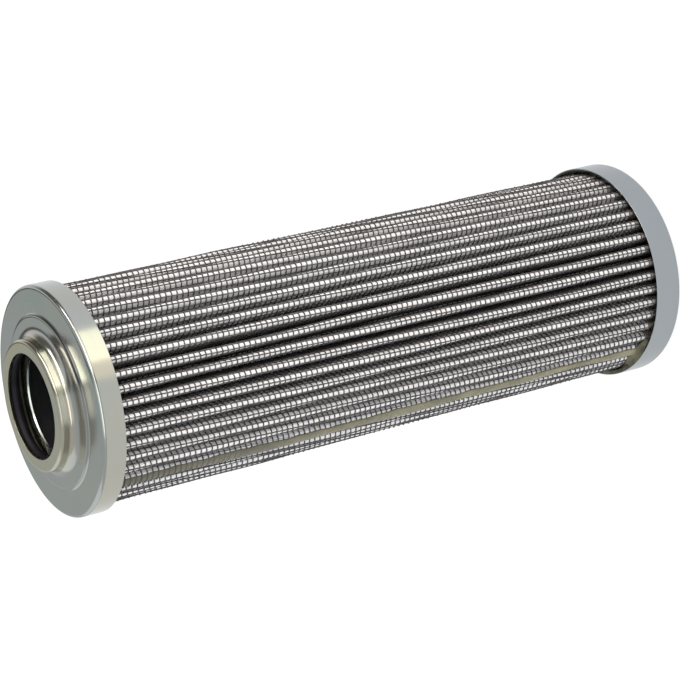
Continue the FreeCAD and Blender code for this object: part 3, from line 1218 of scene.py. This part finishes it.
@dataclass
class NeckSeal:
    """Rubber O-ring in the neck."""

    segments: int = 160
    around: int = 32
    flash: float = 0.05 * MM  # height of the moulding line on the inside
    flash_reach: float = 0.05  # radians of the section on each side of it

    def build(self) -> Piece:
        """Ring with a faint moulding line on its inside.

        Returns:
            The O-ring.
        """
        low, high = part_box("neck_o_ring")
        section = 0.5 * (high.z - low.z)
        angles = ring_angles(self.around)
        reach = section + np.where(np.abs(angles - math.pi) < self.flash_reach, self.flash, 0.0)
        radii = node_radius("neck_o_ring") - section + reach * np.cos(angles)
        heights = 0.5 * (low.z + high.z) + reach * np.sin(angles)
        first, *others = zip(radii, heights)
        return turn("o_ring_seal", Profile(*first).line(*others), self.segments, 180.0)


@dataclass
class Potting:
    """Adhesive disc in a cap, with an uneven collar between pack and skirt."""

    form: PackForm
    node: str  # CAD node that the piece stands for
    name: str
    points_up: bool  # whether the collar climbs towards +Z
    wave: float  # how much the collar's edge goes up and down
    smear: float = 0.0  # how far the adhesive climbs over the pack beside the seam
    segments: int = 368
    seat: float = 0.02 * MM  # kept free towards the cap and the core
    pack_gap: float = 0.35 * MM  # between the pack's tips and the collar
    smear_centre: float = math.radians(-7.5)  # from the seam
    smear_width: float = math.radians(15.0)
    spill_centre: float = -0.42  # radians from the seam, where adhesive covers the rim
    spill_width: float = 0.6

    def build(self) -> Piece:
        """The disc with its collar.

        Returns:
            The adhesive in one cap.
        """
        tip = self.form.tip_radius
        low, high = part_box(self.node)
        outer = node_radius(self.node) - self.seat
        core = node_radius("support_core") + self.seat
        sign = 1.0 if self.points_up else -1.0
        face, back = (self.form.bottom, low.z) if self.points_up else (self.form.top, high.z)
        collar = (high.z - face) if self.points_up else (face - low.z)
        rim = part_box("closed_end_cap")[1].z - face if self.points_up else collar + self.wave
        angles = ring_angles(self.segments)
        off_seam = (angles - SEAM_AZIMUTH + math.pi) % FULL_TURN - math.pi
        present = 1.0 if self.smear else 0.0
        weight = present * np.exp(-(((off_seam - self.smear_centre) / self.smear_width) ** 4))
        spill = present * np.exp(-(((off_seam - self.spill_centre) / self.spill_width) ** 6))
        ripple = np.sin(3 * angles + 0.4) + 0.6 * np.sin(8 * angles + 1.0) + 0.4 * np.sin(19 * angles)
        fingers = np.cos(self.form.pleats * off_seam + math.pi) + 0.6 * np.sin(31 * angles)
        top = collar + self.wave * ripple + weight * (self.smear + 0.4 * MM * fingers)
        top = np.maximum(top, collar + spill * (rim - collar + 0.15 * MM))
        wall = np.minimum(top, rim - 0.5 * MM + 0.52 * MM * spill)
        lean = np.minimum(top, rim + 0.1 * MM)
        inner = tip + self.pack_gap - 2.0 * MM * weight

        # Radius and height of the outline, from the core outward, up the skirt and back over the collar
        columns = (
            (core, back),
            (outer, back),
            (outer, face + sign * wall),
            (outer + 0.7 * MM * spill, face + sign * wall),  # over the cap's rim where it spills
            (outer - 0.3 * MM - 0.3 * MM * weight, face + sign * lean),  # hollow towards the skirt
            (tip + 0.4 * MM - 0.15 * MM * weight, face + sign * (top - 0.9 * MM * weight - 0.2 * MM)),
            (tip + self.pack_gap - 1.0 * MM * weight, face + sign * (top - 0.4 * MM * (1 - weight))),
            (inner, face + sign * (top - 1.2 * MM)),  # into the folds
            (inner, face),
            (core, face),
        )
        points = np.stack([polar(radius, angles, height) for radius, height in columns], axis=1)
        faces = grid_faces(self.segments, len(columns), True)
        return add_piece(self.name, points, faces[:, ::-1] if self.points_up else faces, 50.0)


# Studio


@dataclass(frozen=True)
class SoftBox:
    """Rectangular area lamp that faces a point."""

    name: str
    place: Place
    aim: Place
    size: Span
    power: float
    colour: Colour = (1.0, 1.0, 1.0)

    def build(self) -> None:
        """Put the lamp in the scene."""
        data = bpy.data.lights.new(self.name, "AREA")
        data.shape = "RECTANGLE"
        data.size, data.size_y = self.size
        data.energy = self.power
        data.color = self.colour
        lamp = bpy.data.objects.new(self.name, data)
        lamp.location = self.place
        way = Vector(self.aim) - Vector(self.place)
        lamp.rotation_euler = way.to_track_quat("-Z", "Y").to_euler()
        bpy.context.scene.collection.objects.link(lamp)


@dataclass
class Studio:
    """Pale floor, soft lamps and the camera of the photograph."""

    lens: float = 124.71
    camera_offset: Place = (-2.21 * MM, -625.82 * MM, 253.13 * MM)
    camera_right: Place = (-0.23523, -0.47438, -0.84830)
    camera_back: Place = (0.0, -0.87280, 0.48810)
    floor_rings: tuple[float, ...] = (0.0005, 0.1, 0.4, 0.8)
    floor_drop: float = 0.3 * MM
    paper: Colour = (0.82, 0.82, 0.82)
    glow_with_painted_shadow: Span = (0.72, 0.9)  # of the floor in reflections, near the element and far off, lower near it as a painted shadow
    painted_shadow_reach: Span = (0.05, 0.35)
    glow_share: float = 0.9
    # Brightness of the room from the -X side to the +X side: table, dark gap, soft boxes
    room_stops: tuple[tuple[float, Colour], ...] = (
        (0.0, (0.62, 0.65, 0.66)),
        (0.53, (0.56, 0.59, 0.57)),
        (0.57, (0.10, 0.10, 0.11)),
        (0.61, (0.08, 0.08, 0.09)),
        (0.66, (0.85, 0.84, 0.80)),
        (1.0, (0.95, 0.95, 0.95)),
    )
    gap_way: Place = (0.91, 0.21, 0.35)  # dark wall behind the overhead strip
    gap_reach: Span = (0.72, 0.88)  # cosines at its edge and in its middle
    gap_tone: Colour = (0.05, 0.055, 0.05)
    fill: float = 3.4  # how much stronger the room is as plain light than in gloss
    # Each lamp's name, place, the point that it faces, size, power in watts and colour
    lamps: tuple[SoftBox, ...] = (
        SoftBox("overhead_strip", (0.55, -0.35, 0.55), (0, 0, 0.12), (0.95, 0.24), 3.9, (1.0, 0.97, 0.92)),
        SoftBox("front_strip", (-0.12, -0.78, 0.50), (0, 0, 0.14), (1.1, 0.12), 0.85, (1.0, 0.98, 0.94)),
        SoftBox("front_box", (-0.05, -0.97, 0.75), (0, 0, 0.1), (1.4, 1.4), 2.3),
        SoftBox("back_box", (-0.85, 0.65, 0.55), (0, 0, 0.1), (1.0, 1.0), 1.4, (0.92, 0.96, 1.0)),
        SoftBox("skirt_box", (0.275, -0.30, 0.055), (0, 0, 0.2), (0.23, 0.16), 0.18, (1.0, 0.92, 0.60)),
        SoftBox("skirt_glow", (0.14, -0.36, 0.055), (0, 0, 0.2), (0.16, 0.18), 0.05, (1.0, 0.65, 0.30)),
    )

    def build_floor(self) -> None:
        """Round floor under the element, white to the camera but for its shadow."""
        angles = ring_angles(96)
        rings = np.array(self.floor_rings)
        points = polar(rings[:, None], angles, -self.floor_drop)
        lid = [[0, k, k + 1, k + 1] for k in range(1, len(angles) - 1)]
        faces = np.concatenate((grid_faces(len(rings), len(angles), False)[:, ::-1], lid))
        floor = add_piece("studio_floor", points, faces)
        material = bpy.data.materials.new("floor_paper")
        material.use_nodes = True
        graph = Graph(material.node_tree)
        rays = graph.add("LightPath").outputs
        paper = graph.add("BsdfDiffuse", {"Color": self.paper})
        place = graph.add("TexCoord").outputs["Object"]
        away = graph.add("VectorMath", {0: place}, operation="LENGTH").outputs["Value"]
        # Painted shadow: in reflections the floor glows less near the element
        painted_shadow_glow = graph.ramp(away, *self.painted_shadow_reach, *self.glow_with_painted_shadow)
        strength = graph.math("MAXIMUM", painted_shadow_glow, rays["Is Camera Ray"])
        glow = graph.add("Emission", {"Color": (1.0, 1.0, 1.0), "Strength": strength})
        seen = graph.math("MAXIMUM", rays["Is Camera Ray"], rays["Is Glossy Ray"])
        seen = graph.math("MAXIMUM", seen, rays["Is Transmission Ray"])
        share = graph.times(seen, self.glow_share)
        mixed = graph.add("MixShader", {0: share, 1: paper.outputs[0], 2: glow.outputs[0]})
        graph.add("OutputMaterial", {"Surface": mixed.outputs[0]})
        floor.data.materials.append(material)

    def build_world(self) -> None:
        """White to the camera, and a room of table, gap and soft boxes as light and in gloss."""
        world = bpy.data.worlds.new("studio_world")
        bpy.context.scene.world = world
        world.use_nodes = True
        graph = Graph(world.node_tree)
        rays = graph.add("LightPath").outputs
        direction = graph.add("TexCoord").outputs["Generated"]
        side = graph.add("SeparateXYZ", {0: direction}).outputs[0]
        room = graph.add("ValToRGB", {0: graph.ramp(side, -1.0, 1.0)})
        stops = room.color_ramp.elements
        stops[0].position, stops[1].position = 0.0, 1.0
        for position, _ in self.room_stops[1:-1]:
            stops.new(position)
        for stop, (_, colour) in zip(stops, self.room_stops):
            stop.color = (*colour, 1.0)
        facing = graph.add("VectorMath", {0: direction, 1: self.gap_way}, operation="DOT_PRODUCT")
        dark = graph.ramp(facing.outputs["Value"], *self.gap_reach, 0.0, 0.9)
        tone = graph.mix(dark, room.outputs[0], self.gap_tone)
        strength = graph.ramp(rays["Is Glossy Ray"], 0.0, 1.0, self.fill, 1.0)
        soft = graph.add("Background", {"Color": tone, "Strength": strength})
        white = graph.add("Background", {"Color": (1.0, 1.0, 1.0), "Strength": 1.0})
        mixed = graph.add("MixShader", {0: rays["Is Camera Ray"], 1: soft.outputs[0], 2: white.outputs[0]})
        graph.add("OutputWorld", {"Surface": mixed.outputs[0]})

    def build_camera(self, face_height: float) -> None:
        """Camera at the photograph's place, turned so that the axis lies as it does there.

        Args:
            face_height: Height of the open cap's flat face.
        """
        data = bpy.data.cameras.new("photo_camera")
        data.lens = self.lens
        data.sensor_width = 36.0
        data.clip_start, data.clip_end = 0.01, 20.0
        camera = bpy.data.objects.new("photo_camera", data)
        right = Vector(self.camera_right).normalized()
        back = Vector(self.camera_back).normalized()
        right = (right - back * right.dot(back)).normalized()
        turned = Matrix((right, back.cross(right), back)).transposed().to_4x4()
        place = Vector(self.camera_offset) + Vector((0, 0, face_height))
        camera.matrix_world = Matrix.Translation(place) @ turned
        bpy.context.scene.collection.objects.link(camera)
        bpy.context.scene.camera = camera
        bpy.context.scene.view_settings.view_transform = "Standard"


def dress(piece: Piece, material: bpy.types.Material, slot: Slot, node: str) -> None:
    """Give a new piece its finish and its body, and hide the CAD node that it stands for.

    Args:
        piece: The new piece.
        material: Its finish.
        slot: Not used.
        node: CAD node that the piece replaces.
    """
    piece.data.materials.append(material)
    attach(piece, "root")
    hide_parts(node)
    log.info("%s: %d faces", piece.name, len(piece.data.polygons))


def repaint(node: str, material: bpy.types.Material) -> None:
    """Give a CAD node that stays as it is a better finish.

    Args:
        node: Name of the CAD node.
        material: Its new finish.
    """
    for material_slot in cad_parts[node].material_slots:
        material_slot.material = material
    log.info("%s: repainted", node)


def main() -> None:
    """Build every piece in order, from the pack outward, then the studio."""
    logging.basicConfig(level=logging.INFO, format="%(name)s %(message)s")
    effects = Effects()
    zinc = ZincPlating().build(effects)
    wire = COATED_WIRE.build(effects)
    fleece = Fleece().build(effects)
    glass_fibre = GlassFibreWeb().build(effects)
    adhesive = OliveAdhesive().build(effects)
    potting_adhesive = POTTING_EPOXY.build(effects)
    rubber = SEAL_RUBBER.build(effects)
    core = CORE_MOULDING.build(effects)
    drainage = DrainageWire().build(effects)

    form = PackForm()
    mesh = OuterMesh(form)
    for wires in (*mesh.build_hoops(), mesh.build_lengthwise()):
        dress(wires, wire, Slot.WIRE, "outer_mesh")
    fleece_web = Ply(
        form, "fleece_web", 0.45 * MM, 0.60 * MM, crest_steps=5, root_steps=4, stations=28, climb=2.1 * MM
    )
    dress(fleece_web.build(), fleece, Slot.FLEECE, "outer_fleece")
    for name, depths, finish, slot, node in (
        ("glass_fibre_ply", (0.62 * MM, 0.94 * MM), glass_fibre, Slot.GLASS_FIBRE, "filter_media"),
        ("inner_fleece_web", (0.96 * MM, 1.06 * MM), fleece, Slot.FLEECE, "inner_fleece"),
        ("drainage_ply", (1.08 * MM, 1.26 * MM), drainage, Slot.DRAINAGE, "inner_mesh"),
    ):
        dress(Ply(form, name, *depths).build(), finish, slot, node)
    dress(SeamBead(form).build(), adhesive, Slot.ADHESIVE, "side_seam")

    caps = EndCaps()
    dress(caps.build_closed(), zinc, Slot.ZINC, "closed_end_cap")
    dress(caps.build_open(), zinc, Slot.ZINC, "open_end_cap")
    dress(caps.build_retainer(), zinc, Slot.ZINC, "o_ring_retainer")
    dress(NeckSeal().build(), rubber, Slot.RUBBER, "neck_o_ring")
    for potting in (
        Potting(
            form, "closed_end_potting", "closed_cap_potting", points_up=True, wave=0.2 * MM, smear=5.6 * MM
        ),
        Potting(form, "open_end_potting", "open_cap_potting", points_up=False, wave=0.15 * MM),
    ):
        dress(potting.build(), potting_adhesive, Slot.ADHESIVE, potting.node)
    repaint("support_core", core)

    studio = Studio()
    studio.build_floor()
    studio.build_world()
    for lamp in studio.lamps:
        lamp.build()
    studio.build_camera(caps.face)


if __name__ == "__main__":
    main()
